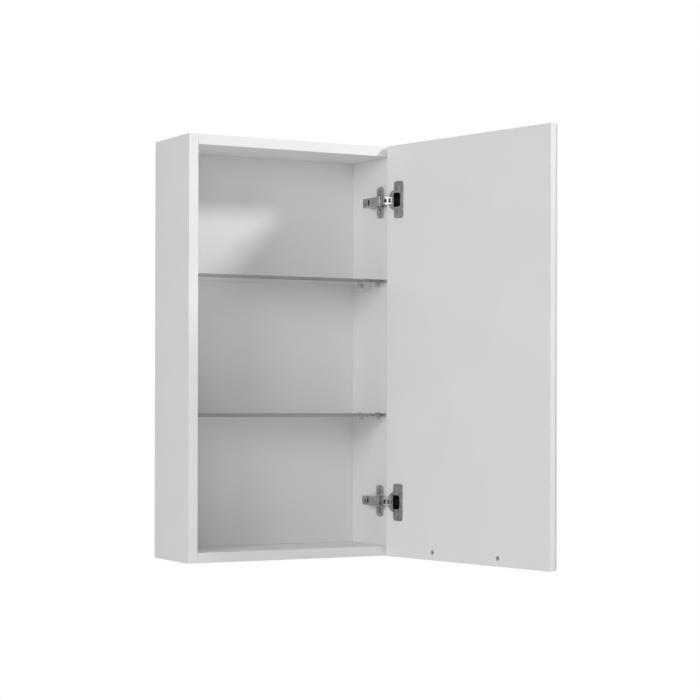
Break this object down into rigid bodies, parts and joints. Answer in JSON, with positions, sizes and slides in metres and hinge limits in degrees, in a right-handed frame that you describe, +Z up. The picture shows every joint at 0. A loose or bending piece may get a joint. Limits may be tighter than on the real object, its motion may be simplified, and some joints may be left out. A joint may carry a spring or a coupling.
{
  "type": "bathroom mirror cabinet",
  "caption": "Tall shallow wall cabinet with glass shelves behind a mirror-faced door that swings on concealed cup hinges.",
  "frame": {"origin": "on the wall plane, at the middle of the bottom panel's rear edge", "axes": "+X to the right seen from the front, +Y into the wall, +Z up"},
  "size_m": [0.469, 0.5407, 0.715],
  "materials": {
    "white_board": "white melamine facing, satin",
    "white_back": "white lacquered hardboard, matt",
    "beech": "bare beech",
    "shelf_glass": "clear float glass, polished edge",
    "clear_plastic": "clear moulded plastic",
    "mirror_glass": "silvered glass",
    "foam_tape": "white foam adhesive tape",
    "chrome": "polished chrome plate",
    "zinc": "bright zinc plate",
    "nickel": "nickel plate"
  },
  "bodies": {
    "carcass": {"arm_pin_inner_lower": "zinc", "arm_pin_inner_upper": "zinc", "arm_pin_outer_lower": "zinc", "arm_pin_outer_upper": "zinc", "back_panel": "white_back", "bottom_panel": "white_board", "clamp_screw_lower": "nickel", "clamp_screw_upper": "nickel", "clip_lower_left_front": "clear_plastic", "clip_lower_left_rear": "clear_plastic", "clip_lower_right_front": "clear_plastic", "clip_lower_right_rear": "clear_plastic", "clip_upper_left_front": "clear_plastic", "clip_upper_left_rear": "clear_plastic", "clip_upper_right_front": "clear_plastic", "clip_upper_right_rear": "clear_plastic", "dowel_bottom_left": "beech", "dowel_bottom_right": "beech", "dowel_top_left": "beech", "dowel_top_right": "beech", "hanger_left": "zinc", "hanger_right": "zinc", "hanger_screw_left_lower": "zinc", "hanger_screw_left_upper": "zinc", "hanger_screw_right_lower": "zinc", "hanger_screw_right_upper": "zinc", "hinge_arm_lower": "nickel", "hinge_arm_upper": "nickel", "left_side_panel": "white_board", "lower_shelf": "shelf_glass", "mounting_plate_lower": "nickel", "mounting_plate_upper": "nickel", "plate_screw_lower_a": "nickel", "plate_screw_lower_b": "nickel", "plate_screw_upper_a": "nickel", "plate_screw_upper_b": "nickel", "right_side_panel": "white_board", "top_panel": "white_board", "upper_shelf": "shelf_glass"},
    "inner_links": {"inner_link_lower": "nickel", "inner_link_upper": "nickel"},
    "door": {"cup_pin_inner_lower": "zinc", "cup_pin_inner_upper": "zinc", "cup_pin_outer_lower": "zinc", "cup_pin_outer_upper": "zinc", "cup_screw_lower_a": "nickel", "cup_screw_lower_b": "nickel", "cup_screw_upper_a": "nickel", "cup_screw_upper_b": "nickel", "door_board": "white_board", "handle": "chrome", "handle_screw_free_side": "zinc", "handle_screw_hinge_side": "zinc", "hinge_cup_lower": "nickel", "hinge_cup_upper": "nickel", "mirror": "mirror_glass", "mirror_tape_free_side": "foam_tape", "mirror_tape_hinge_side": "foam_tape"},
    "outer_links": {"outer_link_lower": "nickel", "outer_link_upper": "nickel"}
  },
  "joints": [
    {"name": "inner_link_swing", "type": "hinge", "parent": "carcass", "child": "inner_links", "pos_m": [0.17, -0.13, 0.349], "axis": [0, 0, 1], "range_deg": [-1.4, 32.5]},
    {"name": "door_swing", "type": "hinge", "parent": "inner_links", "child": "door", "pos_m": [0.17908, -0.15586, 0.349], "axis": [0, 0, 1], "range_deg": [-133.32, 5.28]},
    {"name": "outer_link_swing", "type": "hinge", "parent": "carcass", "child": "outer_links", "pos_m": [0.169, -0.14, 0.349], "axis": [0, 0, 1], "range_deg": [-1.3, 28.5]}
  ],
  "couplings": [
    {"joint": "inner_link_swing", "follows": "door_swing", "ratio": -0.24242},
    {"joint": "outer_link_swing", "follows": "door_swing", "ratio": -0.21212}
  ]
}
